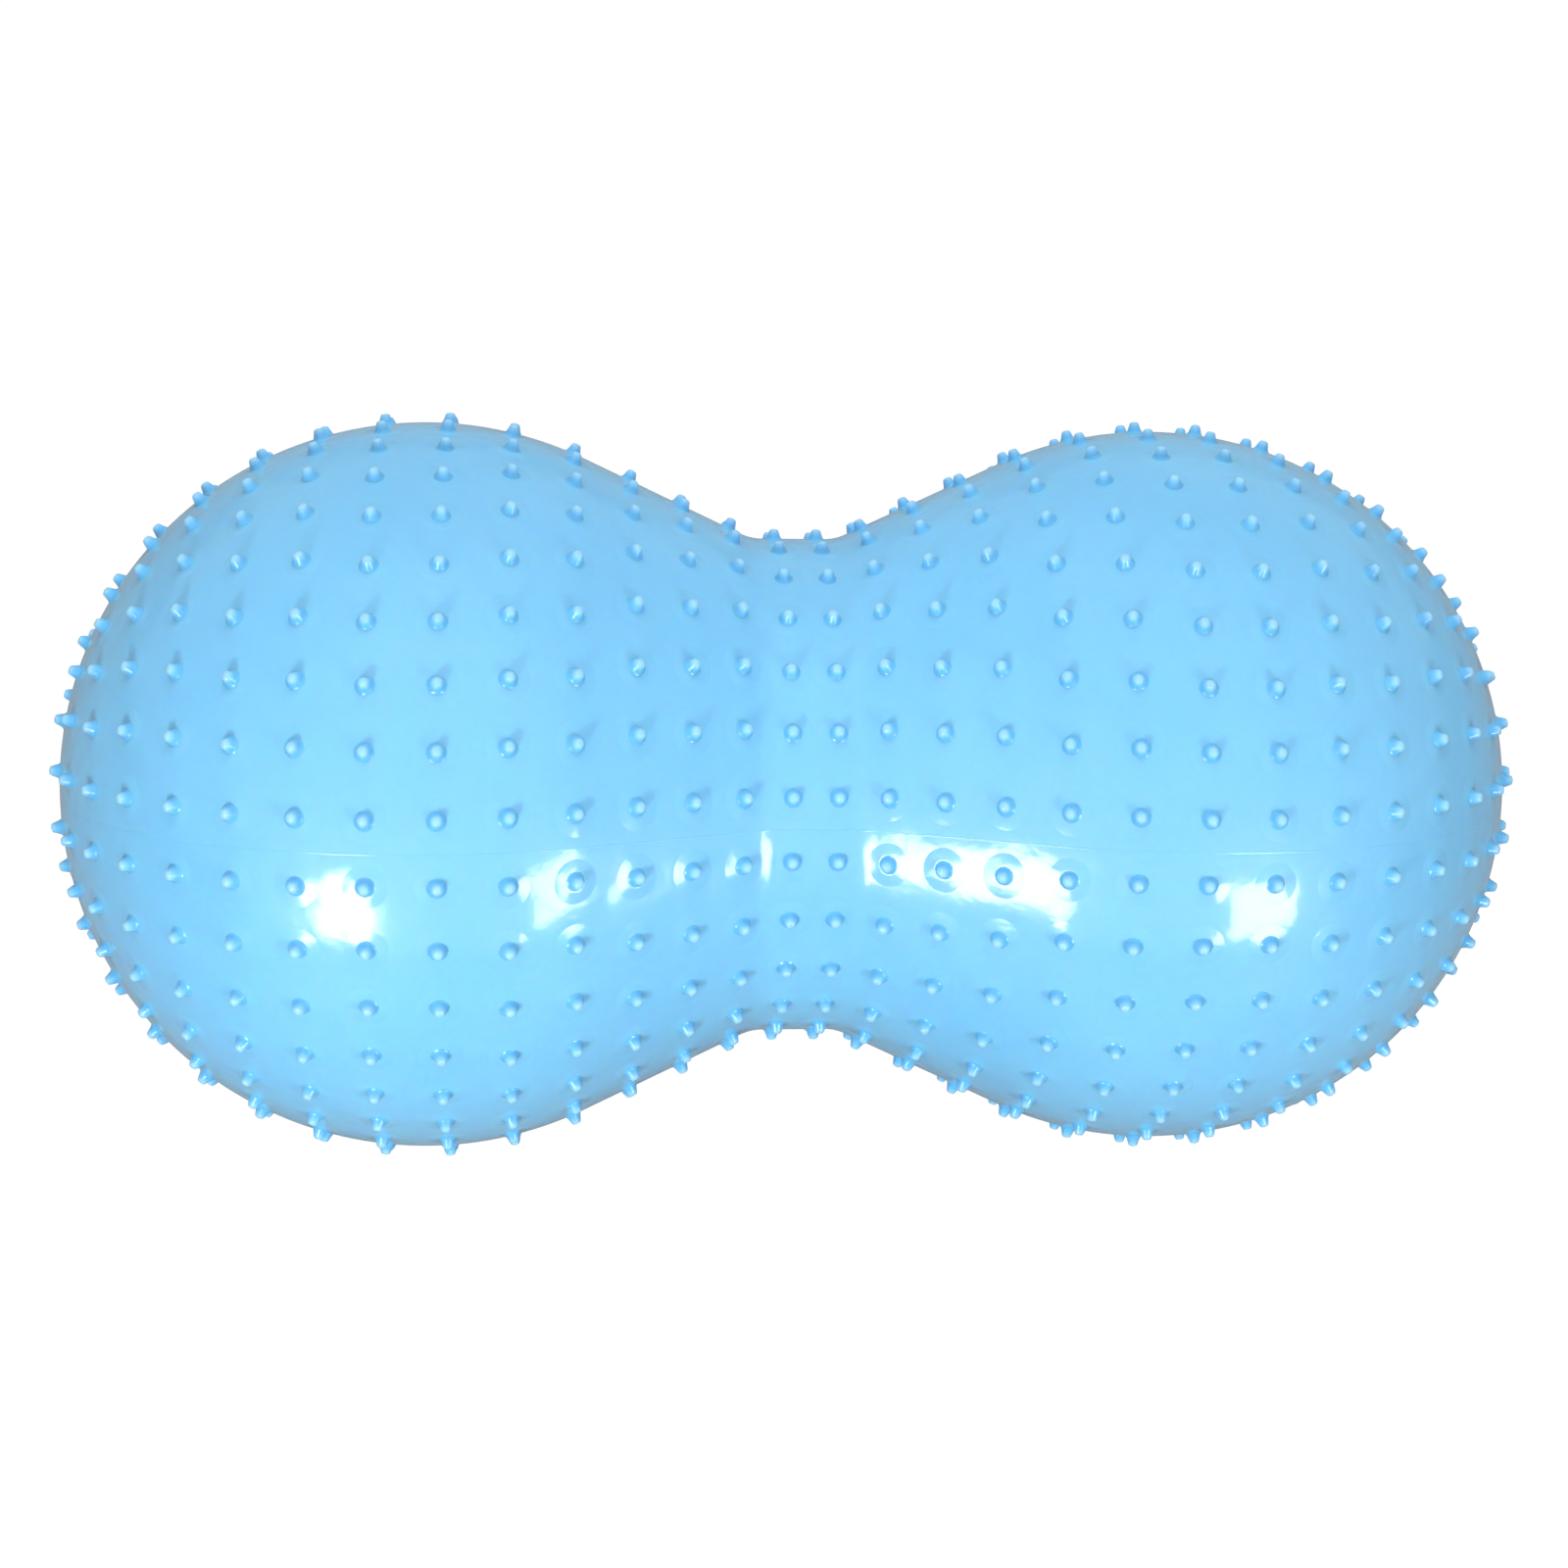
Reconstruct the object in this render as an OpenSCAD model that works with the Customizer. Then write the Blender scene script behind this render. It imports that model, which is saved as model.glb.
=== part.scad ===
// Peanut exercise ball: two round lobes and a waist, blown from one PVC skin, with soft spikes
// in rings all over it, and a push-in valve plug at one end. The long axis lies along X.

/* [Skin] */
// Diameter of each lobe, over the skin
lobe_d = 450; // [400:5:500]
// Distance between the centres of the two lobes
lobe_spacing = 458; // [440:2:470]
// Diameter of the waist, over the skin
waist_d = 309; // [300:1:320]
// Width of the straight band round the waist
waist_band = 40; // [39:1:44]
// Radius of the bend between that band and the flank of a lobe
bend_r = 36; // [20:1:38]

/* [Spikes] */
// Height of a spike over the skin
spike_h = 9.5; // [6:0.5:12]
// Diameter of a spike where it leaves the skin
spike_base_d = 12.5; // [10:0.5:15]
// Diameter of a spike's blunt tip
spike_tip_d = 4.5; // [3:0.5:7]
// How deep a spike's root reaches into the skin
spike_root = 3; // [2:0.5:5]
// Distance between neighbours round the girth of a ring
row_pitch = 36.8; // [34:0.2:44]
// Distance along the skin between rings on the lobes
ring_pitch = 38.8; // [36:0.2:44]
// Distance along the skin from the middle of the waist to the first ring on each side
first_ring = 13.4; // [10:0.1:16]
// Distance along the skin between the first two rings, where they are closest
waist_pitch = 31.5; // [28:0.5:34]
// How much the distance grows from one ring to the next until it reaches the lobes' own
pitch_growth = 2.2; // [2:0.1:2.6]
// A ring on a flank holds as many spikes as fit the girth this far nearer the waist
count_lag = 30; // [0:1:40]
// Distance along the skin round each end that stays bare
bare_end = 40; // [36:1:80]
// How far the spikes of the last ring at each end lean over sideways, in degrees
end_lean = 1.5; // [1:0.5:4]

/* [Valve] */
// Diameter of the hole that the plug's stem goes into
valve_bore_d = 8.6; // [7:0.1:10]
// Depth of that hole below the floor of the recess
valve_bore_depth = 30; // [27:1:40]
// Diameter of the round recess that takes the plug's head
recess_d = 24; // [22:0.5:28]
// Depth of the recess below the end of the ball
recess_depth = 3; // [2.6:0.1:4]
// Diameter of the plug's head
plug_head_d = 22; // [18:0.5:23]
// Thickness of the plug's head at its rim
plug_head_h = 1.6; // [1.2:0.1:2]
// Length of the plug's stem under the head
plug_stem_l = 24; // [18:1:26]
// Clearance all round the stem in its hole
stem_clearance = 0.3; // [0.2:0.05:0.5]
// Diameter of the pull tab on the head
pull_tab_d = 10; // [8:0.5:12]
// Height of the pull tab over the head's rim
pull_tab_h = 1; // [0.6:0.1:1]

/* [Hidden] */
skin_fn = 180;
spike_fn = 24;
plug_fn = 64;
skin_colour = [0.53, 0.82, 0.98];
plug_colour = [0.93, 0.94, 0.95];

lobe_r = lobe_d / 2;
lobe_x = lobe_spacing / 2;
waist_r = waist_d / 2;

// The half outline is the waist's band, a bend, a straight flank and the lobe's arc, each tangent
// to the next. The bend is a fillet, so it is never larger than the room between band and lobe.
// flank is the angle of the straight part to the long axis.
band_x = waist_band / 2;
bend_room = (pow(lobe_x - band_x, 2) + pow(waist_r, 2) - pow(lobe_r, 2)) / 2 / (lobe_r - waist_r);
bend = min(bend_r, 0.9 * bend_room);
bend_z = waist_r + bend;
reach = norm([lobe_x - band_x, bend_z]);
flank_l = sqrt(pow(reach, 2) - pow(lobe_r + bend, 2));
flank = atan2(lobe_x - band_x, bend_z) - atan2(flank_l, lobe_r + bend);
foot_x = band_x + bend * sin(flank);
foot_r = bend_z - bend * cos(flank);
top_x = lobe_x - lobe_r * sin(flank);
top_r = lobe_r * cos(flank);

// Lengths along the skin, from the middle of the waist
function arc(radius, angle) = radius * angle * PI / 180;
flank_start = band_x + arc(bend, flank);
lobe_start = flank_start + flank_l;
equator = lobe_start + arc(lobe_r, flank);
end_length = equator + arc(lobe_r, 90);

// Place on the skin at a length along it: [distance along X, radius from the axis, lean of the
// outward direction from upright towards the end]
function skin_at(length) =
    length < band_x ? [length, waist_r, 0]
    : length < flank_start ? bend_place((length - band_x) * 180 / PI / bend)
    : length < lobe_start ? flank_place(length - flank_start)
    : lobe_place((length - equator) * 180 / PI / lobe_r);
function bend_place(a) = [band_x + bend * sin(a), bend_z - bend * cos(a), -a];
function flank_place(l) = [foot_x + l * cos(flank), foot_r + l * sin(flank), -flank];
function lobe_place(a) = [lobe_x + lobe_r * sin(a), lobe_r * cos(a), a];

// Lengths of the rings from the middle of the waist: the gaps grow ring by ring up to ring_pitch
function ring_lengths(length, gap) =
    length > end_length - bare_end ? []
    : concat([length], ring_lengths(length + gap, min(gap + pitch_growth, ring_pitch)));
rings = ring_lengths(first_ring, waist_pitch);

// Spikes in the ring at a length: always even, so that both halves of the mould match
function ring_count(length) =
    2 * round(PI * min(skin_at(length)[1], skin_at(abs(length - count_lag))[1]) / row_pitch);

// The fullest ring carries the ball, and the ball is turned so that a gap between two of its rows
// points straight down. The mould's parting plane is then this far above level at the front.
lobe_count = ring_count(equator);
row_step = 360 / lobe_count;
parting_turn = row_step * (round(43 / row_step - lobe_count / 4) + lobe_count / 4);

// How far the tips of the two lowest spikes of a ring reach below the axis
function tip_drop(length) =
    let (p = skin_at(length), n = ring_count(length), down = cos(parting_miss(n)) * cos(p[2]))
    (p[1] + spike_h * cos(p[2])) * cos(parting_miss(n)) + spike_tip_d / 2 * sqrt(1 - pow(down, 2));
// Angle between straight down and the nearest spike of a ring
function parting_miss(n) =
    let (steps = (90 + parting_turn) * n / 360 - 0.5) abs(steps - round(steps)) * 360 / n;
axis_z = max([for (length = rings) tip_drop(length)]);

// The cone's side is carried on down to its root
spike_slope = (spike_base_d - spike_tip_d) / 2 / spike_h;
spike_root_d = spike_base_d + 2 * spike_slope * spike_root;

module spike() {
    translate([0, 0, -spike_root])
        cylinder(h = spike_root + spike_h, d1 = spike_root_d, d2 = spike_tip_d, $fn = spike_fn);
}

// Turns what is drawn from the parting plane, y = 0, to where that plane stands
module from_parting() {
    rotate([90 - parting_turn, 0, 0])
        children();
}

// One ring on one lobe's side, its spikes half a step away from the parting plane. Each spike stands
// square on the skin, on a line from the point of the long axis that lies behind it. Only the few
// spikes that crowd round each end lean over a little, as they do when the mould lets go of them.
module ring_of_spikes(length, side) {
    place = skin_at(length);
    count = ring_count(length);
    lean = length == max(rings) ? end_lean : 0;
    for (i = [0 : count - 1])
        rotate([90 - parting_turn + (i + 0.5) * 360 / count, 0, 0])
            translate([side * (place[0] - place[1] * tan(place[2])), 0, 0])
                rotate([0, side * place[2], 0])
                    translate([0, 0, place[1] / cos(place[2])])
                        rotate([lean, 0, 0])
                            spike();
}

// The waist: a straight band, and on each side a bend and a cone that runs up to the lobe, all on a
// core that reaches from lobe to lobe
module waist_body() {
    from_parting()
        rotate([0, 90, 0]) {
            cylinder(h = waist_band, r = waist_r, center = true, $fn = skin_fn);
            cylinder(h = lobe_spacing, r = waist_r / 2, center = true, $fn = skin_fn);
            for (side = [0, 1])
                mirror([0, 0, side]) {
                    hollow_bend();
                    translate([0, 0, foot_x])
                        cylinder(h = top_x - foot_x, r1 = foot_r, r2 = top_r, $fn = skin_fn);
                }
        }
}

module hollow_bend() {
    rotate_extrude($fn = skin_fn)
        difference() {
            polygon([[0, band_x], [bend_z, band_x], [bend_z, foot_x], [0, foot_x]]);
            translate([bend_z, band_x])
                circle(r = bend, $fn = skin_fn);
        }
}

module moulding() {
    waist_body();
    for (side = [-1, 1])
        from_parting()
            translate([side * lobe_x, 0, 0])
                rotate([0, side * 90, 0])
                    sphere(r = lobe_r, $fn = skin_fn);
    for (length = rings, side = [-1, 1])
        ring_of_spikes(length, side);
}

// From the floor of the recess, with +Z out of the end of the ball
module at_valve() {
    translate([lobe_x + lobe_r - recess_depth, 0, 0])
        rotate([0, 90, 0])
            children();
}

module ball_skin() {
    color(skin_colour)
        translate([0, 0, axis_z])
            difference() {
                moulding();
                at_valve() {
                    cylinder(h = 2 * recess_depth, d = recess_d, $fn = plug_fn);
                    translate([0, 0, -valve_bore_depth])
                        cylinder(h = valve_bore_depth + recess_depth, d = valve_bore_d, $fn = plug_fn);
                }
            }
}

module valve_plug() {
    stem_d = valve_bore_d - 2 * stem_clearance;
    color(plug_colour)
        translate([0, 0, axis_z])
            at_valve() {
                cylinder(h = plug_head_h, d = plug_head_d, $fn = plug_fn);
                cylinder(h = plug_head_h + pull_tab_h, d = pull_tab_d, $fn = plug_fn);
                translate([0, 0, -plug_stem_l])
                    cylinder(h = plug_stem_l + plug_head_h, d = stem_d, $fn = plug_fn);
            }
}

ball_skin();
valve_plug();
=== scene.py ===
# %% [markdown]
# This lesson dresses a peanut exercise ball: two round lobes and a waist, blown from one skin of
# soft PVC, with small blunt spikes in rings all over it. It comes out of a mould in two halves, and
# a little plug closes the hole that it is blown up through.
#
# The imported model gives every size. It is loaded first, and everything after it is set against it.

import math
import random

import bmesh
import bpy
import numpy as np
from mathutils import Matrix, Vector


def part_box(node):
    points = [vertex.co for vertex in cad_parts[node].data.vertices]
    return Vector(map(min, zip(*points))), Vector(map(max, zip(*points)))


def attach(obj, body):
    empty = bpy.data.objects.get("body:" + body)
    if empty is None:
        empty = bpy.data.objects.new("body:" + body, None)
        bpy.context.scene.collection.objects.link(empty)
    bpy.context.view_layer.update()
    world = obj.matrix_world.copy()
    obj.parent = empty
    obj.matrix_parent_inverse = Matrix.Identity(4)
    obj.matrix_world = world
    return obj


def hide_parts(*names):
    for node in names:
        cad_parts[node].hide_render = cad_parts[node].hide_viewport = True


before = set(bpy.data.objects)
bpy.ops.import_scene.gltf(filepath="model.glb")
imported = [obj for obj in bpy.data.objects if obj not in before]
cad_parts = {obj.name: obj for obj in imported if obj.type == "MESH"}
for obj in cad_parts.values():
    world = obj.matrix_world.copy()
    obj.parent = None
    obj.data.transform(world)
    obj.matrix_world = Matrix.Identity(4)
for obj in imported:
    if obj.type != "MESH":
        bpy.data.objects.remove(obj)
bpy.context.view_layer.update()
bpy.ops.object.select_all(action="DESELECT")

# %% [markdown]
# The sizes are those that the ball was drawn with. The half outline runs from the middle of the
# waist to the end of a lobe: a straight band, a hollow bend, a straight flank and the lobe's arc,
# each one tangent to the next. Lengths are measured along the skin from the middle of the waist, as
# a tape would lie on it, because the rings of spikes are spaced along it in that way.
#
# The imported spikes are 9.5 mm high, but in the picture they are shorter for their ball. So the skin
# is blown up 2.9 mm fuller here, and the spikes reach 6.6 mm over it. Their tips stay where the
# packed tips are, and the ball rests on them in the same way.

# %% Sizes of the ball
MM = 0.001  # Blender works in metres
lobe_r = 225 * MM
lobe_x = 229 * MM
waist_r = 154.5 * MM
band_x = 20 * MM
bend_r = 36 * MM
fuller = 2.9 * MM
spike_h = 6.6 * MM

bend_z = waist_r + bend_r
reach = math.hypot(lobe_x - band_x, bend_z)
flank_l = math.sqrt(reach**2 - (lobe_r + bend_r) ** 2)
flank = math.atan2(lobe_x - band_x, bend_z) - math.atan2(flank_l, lobe_r + bend_r)
foot_x = band_x + bend_r * math.sin(flank)
foot_r = bend_z - bend_r * math.cos(flank)
full_r = lobe_r + fuller
top_x = lobe_x - full_r * math.sin(flank)
flank_start = band_x + bend_r * flank
lobe_start = flank_start + flank_l
equator = lobe_start + lobe_r * flank
end_length = equator + lobe_r * math.pi / 2

plug_low, plug_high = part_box("valve_plug")
axis_z = (plug_low.z + plug_high.z) / 2
print("flank %.2f degrees, long axis %.1f mm up" % (math.degrees(flank), axis_z / MM))

# %% [markdown]
# A turned outline could be drawn as one curve. But every ring of spikes and every loop of the waist
# needs its own place on it, so one function gives the place at any length along the skin. The rings
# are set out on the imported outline, and a second function gives the same place on the fuller skin.


# %% Places on the skin
def packed_at(length):
    """Distance along X, radius from the long axis, and lean of the outward direction."""
    if length < band_x:
        return length, waist_r, 0.0
    if length < flank_start:
        a = (length - band_x) / bend_r
        return band_x + bend_r * math.sin(a), bend_z - bend_r * math.cos(a), -a
    if length < lobe_start:
        l = length - flank_start
        return foot_x + l * math.cos(flank), foot_r + l * math.sin(flank), -flank
    a = (length - equator) / lobe_r
    return lobe_x + lobe_r * math.sin(a), lobe_r * math.cos(a), a


def skin_at(length):
    """The same place on the fuller skin."""
    x, r, lean = packed_at(length)
    return x + fuller * math.sin(lean), r + fuller * math.cos(lean), lean


HALVINGS = 40


def length_at(x):
    """Length along the skin at a distance along X, by halving."""
    low = 0.0
    high = end_length
    for _ in range(HALVINGS):
        middle = (low + high) / 2
        if skin_at(middle)[0] < x:
            low = middle
        else:
            high = middle
    return (low + high) / 2


print("from the middle of the waist to the end: %.1f mm along the skin" % (end_length / MM))

# %% [markdown]
# The spikes stand in rings, close together at the waist and further apart on the lobes. Every ring
# has an even number of spikes, and none stands on the mould's parting plane, which lies tilted here
# because the ball has rolled on to the gap between two rows.

# %% Rings of spikes
row_pitch = 36.8 * MM
ring_pitch = 38.8 * MM
first_ring = 13.4 * MM
waist_pitch = 31.5 * MM
pitch_growth = 2.2 * MM
count_lag = 30 * MM
bare_end = 40 * MM

rings = []
length = first_ring
gap = waist_pitch
while length <= end_length - bare_end:
    rings.append(length)
    length += gap
    gap = min(gap + pitch_growth, ring_pitch)


def ring_count(length):
    """Spikes in a ring: always even, and as many as fit the girth a little nearer the waist."""
    narrow = min(packed_at(length)[1], packed_at(abs(length - count_lag))[1])
    return 2 * round(math.pi * narrow / row_pitch)


counts = [ring_count(length) for length in rings]
ROWS_UP = 4.5  # The parting plane stands this many rows above level at the front
parting_turn = ROWS_UP * 2 * math.pi / ring_count(equator)
parting_up = math.pi / 2 - parting_turn
print(len(rings), "rings a side with", counts, "spikes,", 2 * sum(counts), "in all")

# %% [markdown]
# The skin is one smooth closed surface. It could be a turned outline, but two balls with their
# inner ends cut off and bridged are as quick and keep even faces on the lobes, where the gloss
# would show any unevenness.

# %% Two lobes, cut where the flanks begin
SEGMENTS = 180
LATITUDES = 120
lobes = []
for side in (-1, 1):
    bpy.ops.mesh.primitive_uv_sphere_add(
        segments=SEGMENTS,
        ring_count=LATITUDES,
        radius=full_r,
        location=(side * lobe_x, 0, axis_z),
        rotation=(0, side * math.pi / 2, 0),
    )
    lobe = bpy.context.object
    bpy.ops.object.transform_apply(location=True, rotation=True, scale=True)
    bpy.ops.object.mode_set(mode="EDIT")
    bpy.ops.mesh.select_all(action="SELECT")
    bpy.ops.mesh.bisect(
        plane_co=(side * top_x, 0, axis_z),
        plane_no=(side, 0, 0),
        clear_inner=True,
    )
    bpy.ops.object.mode_set(mode="OBJECT")
    lobes.append(lobe)
    print("lobe with", len(lobe.data.vertices), "points after the cut")

# %% [markdown]
# The two open edges are bridged with many loops across the gap. Each loop is then scaled about the
# long axis to the outline's radius at its own place. That makes the band, the bends and the flanks
# in one go, and the faces keep their straight rows from lobe to lobe.

# %% Bridge the lobes and shape the waist
bpy.ops.object.select_all(action="DESELECT")
for lobe in lobes:
    lobe.select_set(True)
bpy.context.view_layer.objects.active = lobes[1]
bpy.ops.object.join()
skin = bpy.context.object
skin.name = "inflated_skin"

bpy.ops.object.mode_set(mode="EDIT")
bpy.ops.mesh.select_all(action="DESELECT")
edit = bmesh.from_edit_mesh(skin.data)
for edge in edit.edges:
    edge.select_set(edge.is_boundary)
bmesh.update_edit_mesh(skin.data)
WAIST_LOOPS = 71
SAME_LOOP = 0.4 * MM
bpy.ops.mesh.bridge_edge_loops(number_cuts=WAIST_LOOPS, interpolation="LINEAR")

bpy.ops.mesh.select_mode(type="VERT")
for k in range(1, WAIST_LOOPS + 1):
    x = -top_x + 2 * top_x * k / (WAIST_LOOPS + 1)
    edit = bmesh.from_edit_mesh(skin.data)
    edit.select_mode = {"VERT"}
    near = [v for v in edit.verts if abs(v.co.x - x) < SAME_LOOP]
    for vertex in edit.verts:
        vertex.select_set(False)
    for vertex in near:
        vertex.select_set(True)
    edit.select_flush_mode()
    bmesh.update_edit_mesh(skin.data)
    now = sum(math.hypot(v.co.y, v.co.z - axis_z) for v in near) / len(near)
    wanted = skin_at(length_at(abs(x)))[1] / now
    bpy.ops.transform.resize(value=(1, wanted, wanted), center_override=(x, 0, axis_z))
bpy.ops.object.mode_set(mode="OBJECT")
print("skin with", len(skin.data.polygons), "faces")

# %% [markdown]
# At one end a thick collar is moulded into the skin, with a round recess for the plug's head and a
# hole for its stem. The end is cut flat where the recess begins, and its rim is drawn inwards step
# by step: round the edge, down the wall, across the floor and down the hole.

# %% Valve recess
rim_r = 13 * MM
wall_r = 12 * MM
hole_r = 4.3 * MM
hole_depth = 30 * MM
head_h = 1.6 * MM
tab_h = 1 * MM
rim_round = 0.7 * MM
foot_round = 0.5 * MM
hole_round = 0.4 * MM
SMOOTH_UNDER = math.radians(35)
rim_x = lobe_x + math.sqrt(full_r**2 - rim_r**2)
floor_x = plug_high.x - (head_h + tab_h)
bpy.ops.object.mode_set(mode="EDIT")
bpy.ops.mesh.select_all(action="SELECT")
bpy.ops.mesh.bisect(plane_co=(rim_x, 0, axis_z), plane_no=(1, 0, 0), clear_outer=True)
bpy.ops.mesh.select_all(action="DESELECT")
edit = bmesh.from_edit_mesh(skin.data)
for edge in edit.edges:
    edge.select_set(edge.is_boundary)
bmesh.update_edit_mesh(skin.data)
# Radius and place along X of every loop, from the rim to the bottom of the hole
RECESS = [
    (wall_r + 0.3 * MM, rim_x - 0.2 * MM),
    (wall_r, rim_x - rim_round),
    (wall_r, floor_x + foot_round),
    (wall_r - foot_round, floor_x),
    (hole_r + hole_round, floor_x),
    (hole_r, floor_x - hole_round),
    (hole_r, floor_x - hole_depth),
]
old_r = rim_r
old_x = rim_x
for new_r, new_x in RECESS:
    bpy.ops.mesh.extrude_region_move(TRANSFORM_OT_translate={"value": (new_x - old_x, 0, 0)})
    bpy.ops.transform.resize(
        value=(1, new_r / old_r, new_r / old_r), center_override=(new_x, 0, axis_z)
    )
    old_r = new_r
    old_x = new_x
bpy.ops.mesh.edge_face_add()
bpy.ops.mesh.select_all(action="SELECT")
bpy.ops.mesh.normals_make_consistent(inside=False)
bpy.ops.object.mode_set(mode="OBJECT")
bpy.ops.object.shade_smooth_by_angle(angle=SMOOTH_UNDER)
print("recess floor at x = %.1f mm" % (floor_x / MM))

# %% [markdown]
# The skin round every spike is thicker, so it stretches less when the ball is blown up and stands
# as a very shallow mound, 25 mm wide, with a fine edge. A UV map in metres makes it easy to draw:
# U is the distance from the nearest ring, and V counts round the girth, a step for each spike.

# %% UV map of the spike rings
SAMPLES = 4000
data = skin.data
points = np.array([v.co for v in data.vertices])
angles = np.arctan2(-points[:, 1], points[:, 2] - axis_z) - parting_up
table_x = np.array([skin_at(end_length * k / SAMPLES)[0] for k in range(SAMPLES + 1)])
table_length = np.linspace(0, end_length, SAMPLES + 1)
lengths = np.interp(np.abs(points[:, 0]), table_x, table_length)
ring_array = np.array(rings)
ring_map = data.uv_layers.new(name="spike_rings")
for face in data.polygons:
    centre_angle = math.atan2(-face.center.y, face.center.z - axis_z) - parting_up
    middle = np.mean([lengths[v] for v in face.vertices])
    k = int(np.argmin(np.abs(ring_array - middle)))
    for corner, v in zip(face.loop_indices, face.vertices):
        turn = (angles[v] - centre_angle + math.pi) % (2 * math.pi) - math.pi
        around = (centre_angle + turn) * counts[k] / (2 * math.pi) * row_pitch
        ring_map.data[corner].uv = (lengths[v] - rings[k], around)
print("UV map on", len(ring_map.data), "corners")

# %% [markdown]
# A spike is a small blunt cone with a flared foot and a rounded tip. It is drawn once, from a circle
# that is extruded and scaled step by step, with as few faces as its size in the picture needs. A second
# UV map says how far up the spike a place is, so that its colour can be painted paler towards the tip as
# painted light.

# %% One spike
SPIKE_SIDES = 12
# Radius and height over the skin of every loop, in millimetres
OUTLINE = [(6.2, -0.3), (5.0, 0.35), (4.2, 1.5), (2.9, 5.3), (2.1, 6.2)]
bpy.ops.mesh.primitive_circle_add(
    vertices=SPIKE_SIDES, radius=OUTLINE[0][0] * MM, location=(0, 0, 0)
)
spike = bpy.context.object
spike.name = "one_spike"
bpy.ops.object.mode_set(mode="EDIT")
bpy.ops.mesh.select_all(action="SELECT")
bpy.ops.transform.translate(value=(0, 0, OUTLINE[0][1] * MM))
for (r0, z0), (r1, z1) in zip(OUTLINE, OUTLINE[1:]):
    bpy.ops.mesh.extrude_region_move(TRANSFORM_OT_translate={"value": (0, 0, (z1 - z0) * MM)})
    bpy.ops.transform.resize(value=(r1 / r0, r1 / r0, 1), center_override=(0, 0, z1 * MM))
bpy.ops.mesh.extrude_region_move(
    TRANSFORM_OT_translate={"value": (0, 0, spike_h - OUTLINE[-1][1] * MM)}
)
bpy.ops.mesh.merge(type="CENTER")
bpy.ops.mesh.select_all(action="SELECT")
bpy.ops.mesh.normals_make_consistent(inside=False)
bpy.ops.object.mode_set(mode="OBJECT")
bpy.ops.object.shade_smooth()
height_map = spike.data.uv_layers.new(name="spike_height")
for loop in spike.data.loops:
    height_map.data[loop.index].uv = (0, spike.data.vertices[loop.vertex_index].co.z / spike_h)
print("one spike has", len(spike.data.polygons), "faces")

# %% [markdown]
# A copy is set square on the skin at every place, and the copies on one lobe's side are joined into
# one piece. Geometry nodes could scatter them too, but a plain loop puts each one exactly on its
# ring. Soft spikes never stand quite alike, so every copy leans a little round the girth, by chance.

# %% Spikes on both sides
LEAN_BY_CHANCE = 0.03  # In radians
random.seed(7)
spike_pieces = []
for side in (-1, 1):
    copies = []
    for length, count in zip(rings, counts):
        x, r, lean = skin_at(length)
        for i in range(count):
            turn = Matrix.Rotation(parting_up + (i + 0.5) * 2 * math.pi / count, 4, "X")
            place = Matrix.Translation((0, 0, axis_z)) @ turn @ Matrix.Translation((side * x, 0, r))
            tilt = Matrix.Rotation(random.uniform(-LEAN_BY_CHANCE, LEAN_BY_CHANCE), 4, "X")
            copy = bpy.data.objects.new("spike", spike.data.copy())
            bpy.context.collection.objects.link(copy)
            copy.matrix_world = place @ Matrix.Rotation(side * lean, 4, "Y") @ tilt
            copies.append(copy)
    bpy.ops.object.select_all(action="DESELECT")
    for copy in copies:
        copy.select_set(True)
    bpy.context.view_layer.objects.active = copies[0]
    bpy.ops.object.join()
    bpy.ops.object.transform_apply(location=True, rotation=True, scale=True)
    piece = bpy.context.object
    piece.name = "spikes_valve_side" if side > 0 else "spikes_far_side"
    spike_pieces.append(piece)
    print(piece.name, "has", len(copies), "spikes and", len(piece.data.polygons), "faces")
bpy.data.objects.remove(spike)

# %% [markdown]
# The plug is a small turned piece: a flat head with a pull tab, and a stem with two barbs. It is
# extruded from one disc, both ways, and a bevel rounds every sharp edge.

# %% Valve plug
head_r = 11 * MM
tab_r = 5 * MM
stem_r = 4 * MM
edge_round = 0.4 * MM
PLUG_SIDES = 64
ROUNDED_OVER = math.radians(40)
FACING = 0.9  # Cosine above which a face counts as facing along X
# Every step down the stem in millimetres, and how much wider it is there than one step before
STEM = [(14, 1), (1, 1.04), (2, 0.8), (2, 1.2), (1, 1), (3, 0.6)]
bpy.ops.mesh.primitive_cylinder_add(
    vertices=PLUG_SIDES,
    radius=head_r,
    depth=head_h,
    location=(floor_x + head_h / 2, 0, axis_z),
    rotation=(0, math.pi / 2, 0),
)
plug = bpy.context.object
plug.name = "plug_with_tab"
bpy.ops.object.transform_apply(location=True, rotation=True, scale=True)


def choose_faces(piece, wanted):
    """Selects the faces that wanted() says yes to, and nothing else."""
    edit = bmesh.from_edit_mesh(piece.data)
    for face in edit.faces:
        face.select_set(False)
    for face in edit.faces:
        if wanted(face):
            face.select_set(True)
    bmesh.update_edit_mesh(piece.data)


bpy.ops.object.mode_set(mode="EDIT")
bpy.ops.mesh.select_mode(type="FACE")
choose_faces(plug, lambda face: face.normal.x > FACING)
bpy.ops.mesh.inset(thickness=head_r - tab_r, depth=0)
bpy.ops.mesh.extrude_region_move(TRANSFORM_OT_translate={"value": (tab_h, 0, 0)})
choose_faces(plug, lambda face: face.normal.x < -FACING)
bpy.ops.mesh.inset(thickness=head_r - stem_r, depth=0)
for step, scale in STEM:
    bpy.ops.mesh.extrude_region_move(TRANSFORM_OT_translate={"value": (-step * MM, 0, 0)})
    bpy.ops.transform.resize(value=(1, scale, scale), center_override=(0, 0, axis_z))
bpy.ops.object.mode_set(mode="OBJECT")
rounding = plug.modifiers.new("rounded edges", "BEVEL")
rounding.width = edge_round
rounding.segments = 3
rounding.limit_method = "ANGLE"
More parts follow.
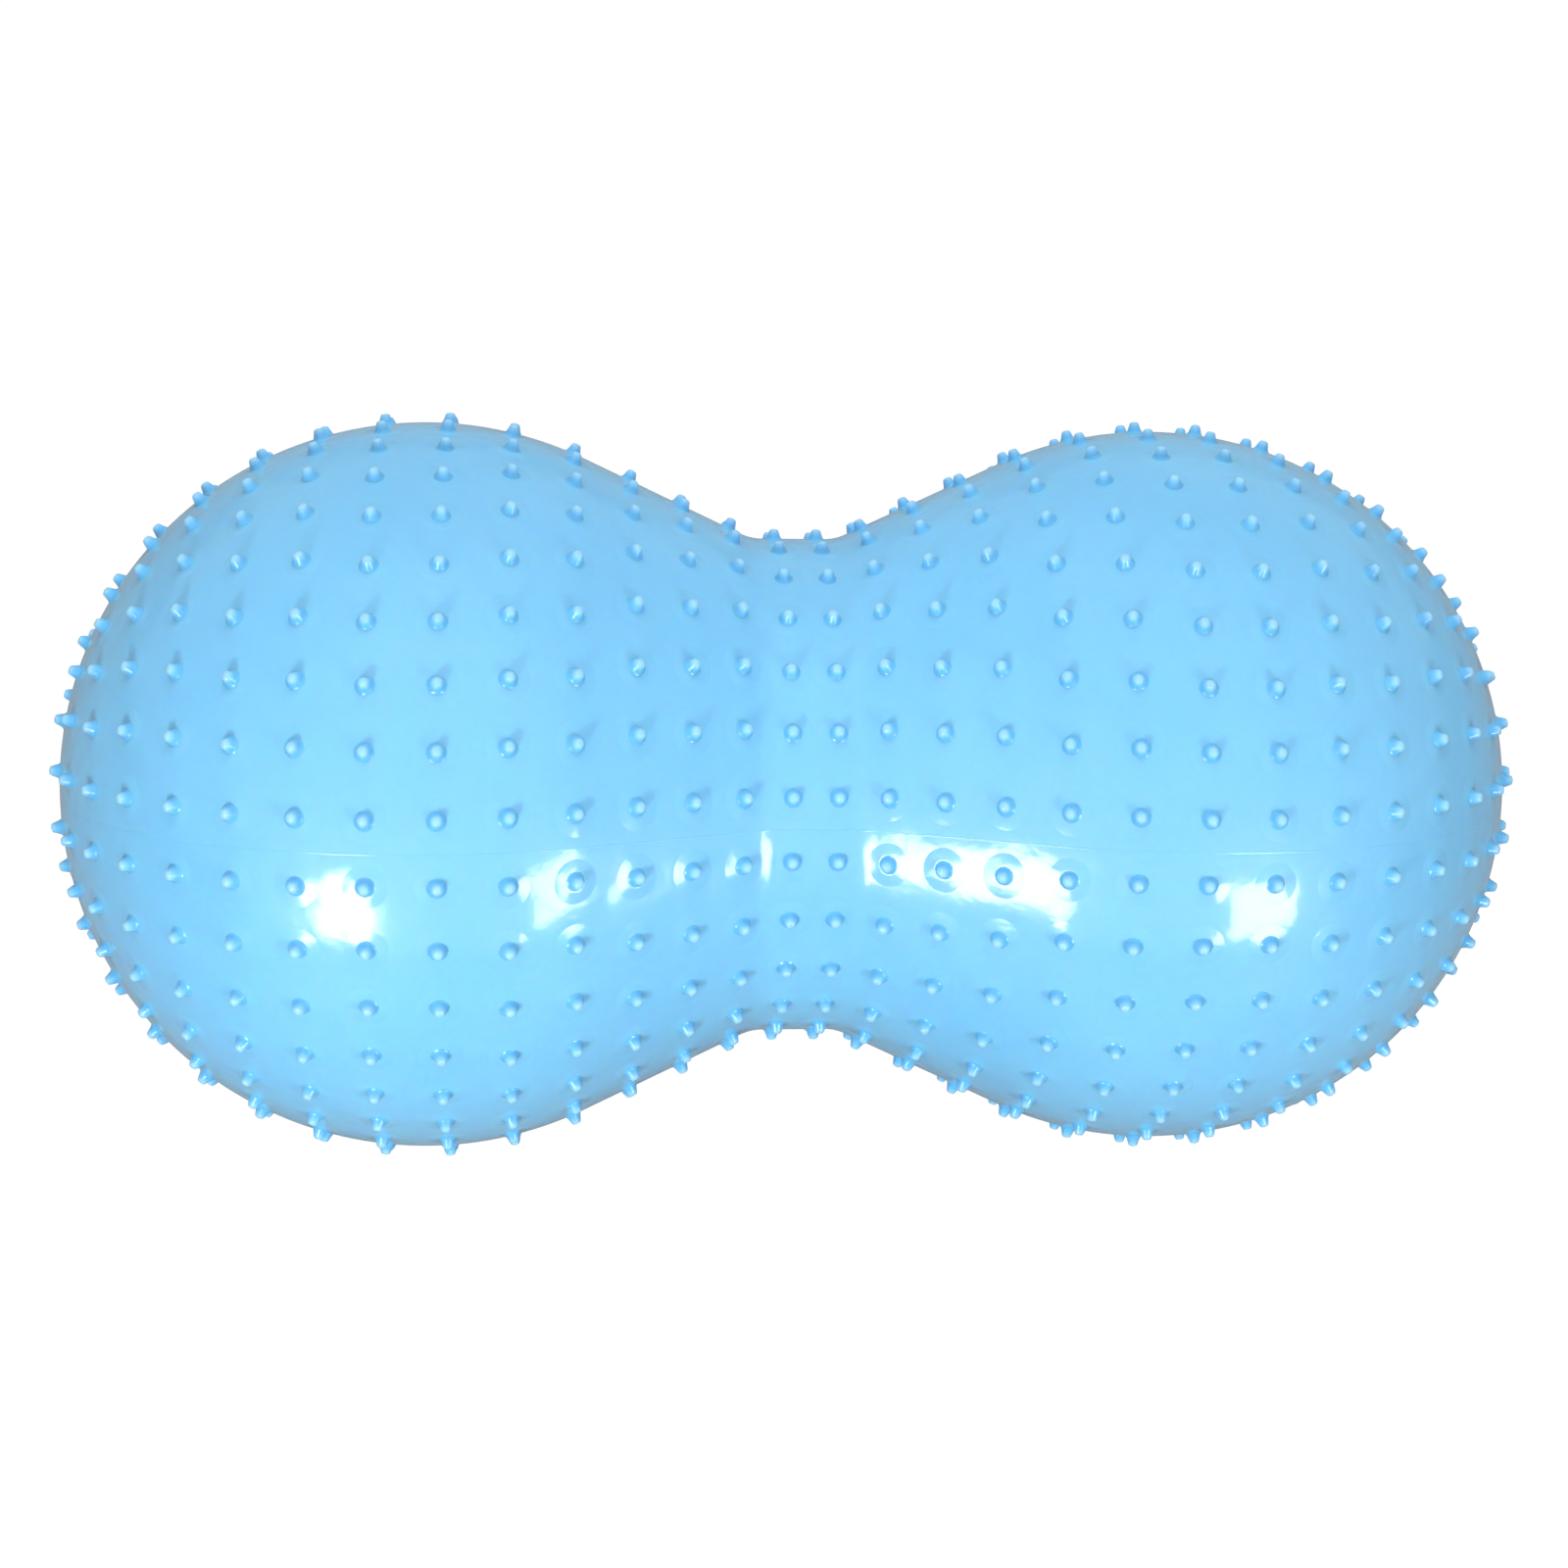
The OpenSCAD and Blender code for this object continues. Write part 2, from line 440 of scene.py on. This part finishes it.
rounding.angle_limit = ROUNDED_OVER
bpy.ops.object.modifier_apply(modifier=rounding.name)
bpy.ops.object.shade_smooth_by_angle(angle=SMOOTH_UNDER)
print("plug with", len(plug.data.polygons), "faces")


# %% [markdown]
# Materials are built from nodes. One function turns a hex colour into the linear numbers that the
# sockets take, and one adds a node with its settings, its fixed values and its links. Sockets go by
# name, or by number where names repeat: 6 and 7 are the two colours of a Mix node, 0 is its factor.

# %% Helpers for materials
def linear(hex_colour):
    """Red, green, blue and alpha as the sockets take them, from a colour such as #FFFFFF."""
    channels = [int(hex_colour[i : i + 2], 16) / 255 for i in (1, 3, 5)]
    return [c / 12.92 if c <= 0.04045 else ((c + 0.055) / 1.055) ** 2.4 for c in channels] + [1]


def add_node(tree, kind, settings=None, values=None, links=None):
    """A new node: values are set on its sockets, and links lead into them."""
    made = tree.nodes.new(kind)
    for name, value in (settings or {}).items():
        setattr(made, name, value)
    for socket, value in (values or {}).items():
        made.inputs[socket].default_value = value
    for socket, source in (links or {}).items():
        tree.links.new(source, made.inputs[socket])
    return made


def new_material(name):
    """A new material and its empty node tree."""
    material = bpy.data.materials.new(name)
    material.use_nodes = True
    material.node_tree.nodes.clear()
    return material, material.node_tree


WHITE = linear("#FFFFFF")
print("white in linear light is", WHITE)

# %% [markdown]
# The skin is plasticised PVC, cast inside a polished mould and then stretched: glossy, slightly
# translucent and a clear sky blue, a little paler where it is thin. What gives the material away
# is its gloss, which wobbles with the blown-up skin and breaks up round every spike.

# %% Glossy soft PVC
CLOUD_SIZE = 120 * MM
THICK_SKIN = linear("#70C6F8")
THIN_SKIN = linear("#78CBFB")
pvc, tree = new_material("glossy_soft_pvc")
place = add_node(tree, "ShaderNodeTexCoord").outputs["Object"]
clouds = add_node(
    tree,
    "ShaderNodeTexNoise",
    values={"Scale": 1 / CLOUD_SIZE, "Detail": 3.0, "Roughness": 0.5},
    links={"Vector": place},
).outputs["Fac"]
blend = add_node(
    tree,
    "ShaderNodeMapRange",
    values={"From Min": 0.3, "From Max": 0.7},
    links={"Value": clouds},
).outputs["Result"]
colour = add_node(
    tree,
    "ShaderNodeMix",
    {"data_type": "RGBA"},
    {6: THICK_SKIN, 7: THIN_SKIN},
    {0: blend},
).outputs[2]
print("colour of the skin:", len(tree.nodes), "nodes")

# %% [markdown]
# The mounds are far too shallow to model, less than half a millimetre on a ball of nearly a metre.
# Only the gloss shows them, as crescents round the spikes, so a bump is enough. It comes from the
# distance to the nearest spike: V is folded at every half step, and U and V make up the distance.

# %% Shallow mound round every spike
MOUND_TOP_R = 6 * MM
MOUND_FOOT_R = 12.5 * MM
MOUND_H = 0.45 * MM
rings_uv = add_node(tree, "ShaderNodeUVMap", {"uv_map": "spike_rings"}).outputs["UV"]
split = add_node(tree, "ShaderNodeSeparateXYZ", links={"Vector": rings_uv})
across = add_node(
    tree,
    "ShaderNodeMath",
    {"operation": "PINGPONG"},
    {1: row_pitch / 2},
    {0: split.outputs["Y"]},
).outputs[0]
sideways = add_node(
    tree, "ShaderNodeMath", {"operation": "SUBTRACT"}, {0: row_pitch / 2}, {1: across}
).outputs[0]
flat = add_node(
    tree, "ShaderNodeCombineXYZ", links={"X": split.outputs["X"], "Y": sideways}
).outputs["Vector"]
from_spike = add_node(
    tree, "ShaderNodeVectorMath", {"operation": "LENGTH"}, links={0: flat}
).outputs["Value"]
mound = add_node(
    tree,
    "ShaderNodeMapRange",
    values={"From Min": MOUND_TOP_R, "From Max": MOUND_FOOT_R, "To Min": MOUND_H, "To Max": 0.0},
    links={"Value": from_spike},
).outputs["Result"]
print("colour and mounds:", len(tree.nodes), "nodes")

# %% [markdown]
# The two halves of the mould leave a fine raised line all round, on the parting plane. It could be a
# strip of faces, but it is only a pixel or two wide in the picture, so it is a bump as well. A dot
# product with the plane's own direction gives the distance from the plane.

# %% Mould line
LINE_HALF_W = 0.6 * MM
LINE_H = 0.12 * MM
upright = add_node(
    tree,
    "ShaderNodeVectorMath",
    {"operation": "DOT_PRODUCT"},
    {1: (0, math.cos(parting_up), math.sin(parting_up))},
    {0: place},
).outputs["Value"]
off_line = add_node(
    tree,
    "ShaderNodeMath",
    {"operation": "SUBTRACT"},
    {1: axis_z * math.sin(parting_up)},
    {0: upright},
).outputs[0]
distance = add_node(
    tree, "ShaderNodeMath", {"operation": "ABSOLUTE"}, links={0: off_line}
).outputs[0]
mould_line = add_node(
    tree,
    "ShaderNodeMapRange",
    {"interpolation_type": "SMOOTHSTEP"},
    {"From Min": 0.0, "From Max": LINE_HALF_W, "To Min": LINE_H, "To Max": 0.0},
    {"Value": distance},
).outputs["Result"]
print("colour, mounds and line:", len(tree.nodes), "nodes")

# %% [markdown]
# A blown-up skin is never quite even: it wobbles slowly where it is thicker or thinner, and has a
# finer ripple besides. Two noises of different size are added to the mounds and the line, and make
# the edges of the reflections wander as they do in the picture. Moving the points of the mesh would
# do the same, but would need far more faces.

# %% Wobble of the blown-up skin
WOBBLE_SIZE = 55 * MM
WOBBLE_H = 1.8 * MM
RIPPLE_SIZE = 11 * MM
RIPPLE_H = 0.2 * MM
wobble = add_node(
    tree,
    "ShaderNodeTexNoise",
    values={"Scale": 1 / WOBBLE_SIZE, "Detail": 2.0, "Roughness": 0.4},
    links={"Vector": place},
).outputs["Fac"]
ripple = add_node(
    tree,
    "ShaderNodeTexNoise",
    values={"Scale": 1 / RIPPLE_SIZE, "Detail": 2.0, "Roughness": 0.5},
    links={"Vector": place},
).outputs["Fac"]
wobble_height = add_node(
    tree, "ShaderNodeMath", {"operation": "MULTIPLY"}, {1: WOBBLE_H}, {0: wobble}
).outputs[0]
ripple_height = add_node(
    tree, "ShaderNodeMath", {"operation": "MULTIPLY"}, {1: RIPPLE_H}, {0: ripple}
).outputs[0]
height = add_node(
    tree, "ShaderNodeMath", {"operation": "ADD"}, links={0: mound, 1: mould_line}
).outputs[0]
for part in (wobble_height, ripple_height):
    height = add_node(
        tree, "ShaderNodeMath", {"operation": "ADD"}, links={0: height, 1: part}
    ).outputs[0]
relief = add_node(
    tree, "ShaderNodeBump", values={"Strength": 1.0, "Distance": 1.0}, links={"Height": height}
).outputs["Normal"]
print("colour and relief:", len(tree.nodes), "nodes")

# %% [markdown]
# Two layers make the gloss. The PVC itself is fairly rough and gives a broad sheen. The clear coat on
# it stands for the polished surface of soft PVC, and gives the sharp white patches. Some of the light
# goes into the skin and comes out again blue, which softens the shading.

# %% Gloss of the skin
gloss = add_node(
    tree,
    "ShaderNodeMapRange",
    values={"From Min": 0.35, "From Max": 0.7, "To Min": 0.52, "To Max": 0.6},
    links={"Value": ripple},
).outputs["Result"]
shader = add_node(
    tree,
    "ShaderNodeBsdfPrincipled",
    values={
        "IOR": 1.53,
        "Specular IOR Level": 1.0,
        "Subsurface Weight": 0.5,
        "Subsurface Radius": (0.05, 0.4, 1.0),
        "Subsurface Scale": 5 * MM,
        "Coat Weight": 1.0,
        "Coat Roughness": 0.13,
        "Coat IOR": 1.75,
    },
    links={"Base Color": colour, "Roughness": gloss, "Normal": relief, "Coat Normal": relief},
)
add_node(tree, "ShaderNodeOutputMaterial", links={"Surface": shader.outputs["BSDF"]})
skin.data.materials.append(pvc)
print("skin material has", len(tree.nodes), "nodes")

# %% [markdown]
# The spikes are the same PVC, but solid and not stretched, so the colour is deeper at their feet. Their
# blunt tips are painted paler, a painted highlight for the light that they catch. Their small size hides
# the gloss's wobble.

# %% Solid PVC of the spikes
SPIKE_GRAIN = 4 * MM
SPIKE_FOOT = linear("#62BBF0")
# Painted highlight: the tip colour is paler than the PVC's own, for the light that the tips catch.
SPIKE_TIP_PAINTED_LIGHT = linear("#98D5F9")
solid_pvc, tree = new_material("solid_soft_pvc")
place = add_node(tree, "ShaderNodeTexCoord").outputs["Object"]
grain = add_node(
    tree,
    "ShaderNodeTexNoise",
    values={"Scale": 1 / SPIKE_GRAIN, "Detail": 2.0},
    links={"Vector": place},
).outputs["Fac"]
height_uv = add_node(tree, "ShaderNodeUVMap", {"uv_map": "spike_height"}).outputs["UV"]
up_spike = add_node(tree, "ShaderNodeSeparateXYZ", links={"Vector": height_uv}).outputs["Y"]
# Painted light: the colour turns from the foot's own deep blue to the paler tip, higher up the spike.
painted_tip_light = add_node(
    tree,
    "ShaderNodeMapRange",
    {"interpolation_type": "SMOOTHSTEP"},
    {"From Min": 0.25, "From Max": 1.0},
    {"Value": up_spike},
).outputs["Result"]
colour = add_node(
    tree,
    "ShaderNodeMix",
    {"data_type": "RGBA"},
    {6: SPIKE_FOOT, 7: SPIKE_TIP_PAINTED_LIGHT},
    {0: painted_tip_light},
).outputs[2]
relief = add_node(
    tree, "ShaderNodeBump", values={"Strength": 0.3, "Distance": 0.1 * MM}, links={"Height": grain}
).outputs["Normal"]
shader = add_node(
    tree,
    "ShaderNodeBsdfPrincipled",
    values={
        "Roughness": 0.28,
        "IOR": 1.53,
        "Subsurface Weight": 0.3,
        "Subsurface Radius": (0.2, 0.7, 1.0),
        "Subsurface Scale": 2 * MM,
        "Coat Weight": 0.7,
        "Coat Roughness": 0.1,
    },
    links={"Base Color": colour, "Normal": relief},
)
add_node(tree, "ShaderNodeOutputMaterial", links={"Surface": shader.outputs["BSDF"]})
for piece in spike_pieces:
    piece.data.materials.clear()
    piece.data.materials.append(solid_pvc)
print("spike material has", len(tree.nodes), "nodes")

# %% [markdown]
# The plug is injection-moulded polyethylene, white and satin. A plain white would do from afar, but
# a faint grain in its colour and relief keeps it from looking like glass when seen close by.

# %% Satin polyethylene
PLUG_GRAIN = 0.8 * MM
PLUG_DULL = linear("#E9EDF0")
PLUG_BRIGHT = linear("#F1F3F5")
polyethylene, tree = new_material("satin_polyethylene")
place = add_node(tree, "ShaderNodeTexCoord").outputs["Object"]
grain = add_node(
    tree,
    "ShaderNodeTexNoise",
    values={"Scale": 1 / PLUG_GRAIN, "Detail": 2.0},
    links={"Vector": place},
).outputs["Fac"]
colour = add_node(
    tree,
    "ShaderNodeMix",
    {"data_type": "RGBA"},
    {6: PLUG_DULL, 7: PLUG_BRIGHT},
    {0: grain},
).outputs[2]
relief = add_node(
    tree, "ShaderNodeBump", values={"Strength": 0.4, "Distance": 0.05 * MM}, links={"Height": grain}
).outputs["Normal"]
shader = add_node(
    tree,
    "ShaderNodeBsdfPrincipled",
    values={"Roughness": 0.38, "IOR": 1.51, "Subsurface Weight": 0.1, "Subsurface Scale": 2 * MM},
    links={"Base Color": colour, "Normal": relief},
)
add_node(tree, "ShaderNodeOutputMaterial", links={"Surface": shader.outputs["BSDF"]})
plug.data.materials.append(polyethylene)
print("plug material has", len(tree.nodes), "nodes")

# %% [markdown]
# Every piece is tied to the imported body that it rides on. The imported solids themselves are then
# hidden.

# %% Pieces and the imported model
for piece in [skin] + spike_pieces:
    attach(piece, "root")
    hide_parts("ball_skin")
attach(plug, "root")
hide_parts("valve_plug")
print(len(spike_pieces) + 2, "pieces ride on the packed ball")

# %% [markdown]
# The ball lies on a plain pale floor that runs out of sight. The floor shines white to the camera and
# more dimly in reflections. Light that bounces off it finds it grey, so that it does not wash out the
# ball's underside. The small share of matt paint keeps a very faint shadow of the ball.

# %% Floor
FLOOR_SIZE = 30
GLOSSY_SHARE = 0.2
SHINING_SHARE = 0.92
SHINE = 1.09
MATT_GREY = linear("#707070")
bpy.ops.mesh.primitive_plane_add(size=FLOOR_SIZE, location=(0, 0, 0))
floor = bpy.context.object
floor.name = "pale_floor"
paint, tree = new_material("pale_floor_paint")
path = add_node(tree, "ShaderNodeLightPath")
seen = add_node(
    tree,
    "ShaderNodeMath",
    {"operation": "MAXIMUM"},
    links={0: path.outputs["Is Camera Ray"], 1: path.outputs["Is Transmission Ray"]},
).outputs[0]
brightness = add_node(
    tree,
    "ShaderNodeMath",
    {"operation": "MULTIPLY_ADD"},
    {1: GLOSSY_SHARE},
    {0: path.outputs["Is Glossy Ray"], 2: seen},
).outputs[0]
share = add_node(
    tree, "ShaderNodeMath", {"operation": "MULTIPLY"}, {1: SHINING_SHARE}, {0: brightness}
).outputs[0]
matt = add_node(tree, "ShaderNodeBsdfDiffuse", values={"Color": MATT_GREY}).outputs[0]
white = add_node(
    tree, "ShaderNodeEmission", values={"Color": WHITE, "Strength": SHINE}
).outputs[0]
mixed = add_node(tree, "ShaderNodeMixShader", links={0: share, 1: matt, 2: white}).outputs[0]
add_node(tree, "ShaderNodeOutputMaterial", links={"Surface": mixed})
floor.data.materials.append(paint)
print("floor is", FLOOR_SIZE, "m wide and has", len(tree.nodes), "nodes")

# %% [markdown]
# The world is the pale room round the ball. The camera sees it plain white, at a strength of 1. As
# light it is dimmer, and brighter from above and in front than from elsewhere. An even grey would do,
# but then the lobes would look flat. The strength follows the cosine of the angle from the brightest
# direction. Light Path tells the camera's rays from the others.

# %% World
ROOM_BRIGHTEST = (-0.17, -0.5, 0.85)
ROOM_LOW = 0.42
ROOM_HIGH = 0.6
world = bpy.data.worlds.new("white_room")
bpy.context.scene.world = world
world.use_nodes = True
tree = world.node_tree
tree.nodes.clear()
path = add_node(tree, "ShaderNodeLightPath")
seen = add_node(
    tree,
    "ShaderNodeMath",
    {"operation": "MAXIMUM"},
    links={0: path.outputs["Is Camera Ray"], 1: path.outputs["Is Transmission Ray"]},
).outputs[0]
direction = add_node(tree, "ShaderNodeTexCoord").outputs["Generated"]
frontal = add_node(
    tree,
    "ShaderNodeVectorMath",
    {"operation": "DOT_PRODUCT"},
    {1: ROOM_BRIGHTEST},
    {0: direction},
).outputs["Value"]
glow = add_node(
    tree,
    "ShaderNodeMapRange",
    {"interpolation_type": "SMOOTHSTEP"},
    {"From Min": 0.2, "From Max": 1.0, "To Min": ROOM_LOW, "To Max": ROOM_HIGH},
    {"Value": frontal},
).outputs["Result"]
dim = add_node(
    tree, "ShaderNodeBackground", values={"Color": WHITE}, links={"Strength": glow}
).outputs[0]
bright = add_node(
    tree, "ShaderNodeBackground", values={"Color": WHITE, "Strength": 1.0}
).outputs[0]
mixed = add_node(tree, "ShaderNodeMixShader", links={0: seen, 1: dim, 2: bright}).outputs[0]
add_node(tree, "ShaderNodeOutputWorld", links={"Surface": mixed})
print("as light the room has a strength from", ROOM_LOW, "to", ROOM_HIGH)

# %% [markdown]
# Two low softboxes stand in front of the ball, one on each side. Their square reflections are the
# white patches on the skin. A small lamp at the middle of each of them throws the short shadows that
# lie above every spike like a V. A large panel high up behind the ball lights its upper half evenly.
# Only the softboxes show as highlights.

# %% Lamps
centre = Vector((0, 0, axis_z))
to_left = (-0.49, -0.861, 0.25)
to_right = (0.50, -0.83, 0.25)
to_ceiling = (0.0, 0.5, 0.87)
# Name, direction from the ball, distance and size in metres, power in watts
LAMPS = [
    ("softbox_left", to_left, 1.5, 0.45, 6.2),
    ("softbox_right", to_right, 1.5, 0.45, 5.0),
    ("small_lamp_left", to_left, 1.5, 0.1, 5.4),
    ("small_lamp_right", to_right, 1.5, 0.1, 2.6),
    ("ceiling_panel", to_ceiling, 2.5, 2.5, 47.0),
]
for name, direction, distance, size, power in LAMPS:
    lamp = bpy.data.lights.new(name, "AREA")
    lamp.shape = "SQUARE"
    lamp.size = size
    lamp.energy = power
    stand = bpy.data.objects.new(name, lamp)
    bpy.context.collection.objects.link(stand)
    stand.location = centre + Vector(direction).normalized() * distance
    stand.rotation_euler = Vector(direction).to_track_quat("Z", "Y").to_euler()
    stand.visible_camera = False
    stand.visible_glossy = name.startswith("softbox")
    print(name, [round(v, 2) for v in stand.location])

# %% [markdown]
# The camera looks down at the ball from the front, at the angle that puts the mould's line and the
# rows of spikes where the picture has them. It stands a little to the left of the waist, and is
# turned a little to the right.

# %% Camera
ABOVE_LINE = math.radians(9.85)
EYE_DISTANCE = 1.605
EYE_SIDE = -0.154
YAW = math.radians(-5.33)
LENS = 57.4
SENSOR = 36
look_down = parting_turn + ABOVE_LINE
toward = Vector((0, -math.cos(look_down), math.sin(look_down)))
right = Vector((math.cos(YAW), 0, 0)) - toward * math.sin(YAW)
back = toward * math.cos(YAW) + Vector((math.sin(YAW), 0, 0))
up = back.cross(right)
camera_data = bpy.data.cameras.new("camera")
camera_data.lens = LENS
camera_data.sensor_width = SENSOR
camera = bpy.data.objects.new("camera", camera_data)
bpy.context.collection.objects.link(camera)
eye = centre + Vector((EYE_SIDE, 0, 0)) + toward * EYE_DISTANCE
camera.matrix_world = Matrix.Translation(eye) @ Matrix((right, up, back)).transposed().to_4x4()
bpy.context.scene.camera = camera
bpy.context.scene.view_settings.view_transform = "Standard"
print("camera looks down %.1f degrees" % math.degrees(look_down))
